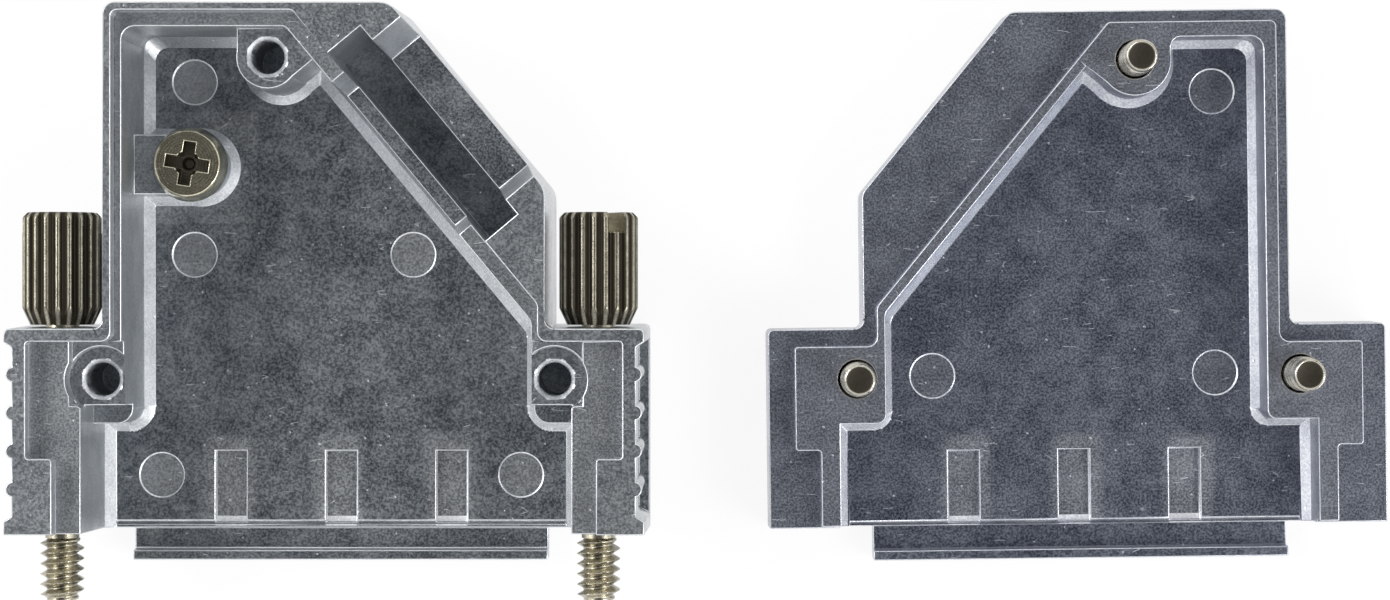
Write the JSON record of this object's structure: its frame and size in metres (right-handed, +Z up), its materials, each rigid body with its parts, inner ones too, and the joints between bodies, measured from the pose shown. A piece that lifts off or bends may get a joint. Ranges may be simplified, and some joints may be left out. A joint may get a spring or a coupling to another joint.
{
  "type": "d-sub hood",
  "caption": "Die-cast hood for a D-subminiature connector, opened into base and cover, with knurled thumbscrews and an angled cable exit.",
  "frame": {"origin": "centre of the bounding box of both halves, on the plane they lie on", "axes": "+Z up from the plane the halves lie on, +Y from the connector face to the rear edge, +X from the base half to the cover half"},
  "size_m": [0.0864, 0.0372, 0.0115],
  "materials": {
    "zinc": "bare die-cast zinc, mottled blue-grey flats and bright bevels",
    "nickel": "satin nickel plating on steel, warm grey"
  },
  "bodies": {
    "hood": {"base_shell": "zinc", "cover_shell": "zinc", "clamp_screw": "nickel", "cover_screw_left": "nickel", "cover_screw_right": "nickel", "cover_screw_rear": "nickel"},
    "left_screw": {"thumbscrew_left": "nickel"},
    "right_screw": {"thumbscrew_right": "nickel"}
  },
  "joints": [
    {"name": "left_screw_spin", "type": "hinge", "parent": "hood", "child": "left_screw", "pos_m": [-0.04006, -0.01431, 0.00775], "axis": [0, 1, 0], "continuous": true},
    {"name": "right_screw_spin", "type": "hinge", "parent": "hood", "child": "right_screw", "pos_m": [-0.00674, -0.01431, 0.00775], "axis": [0, 1, 0], "continuous": true}
  ]
}
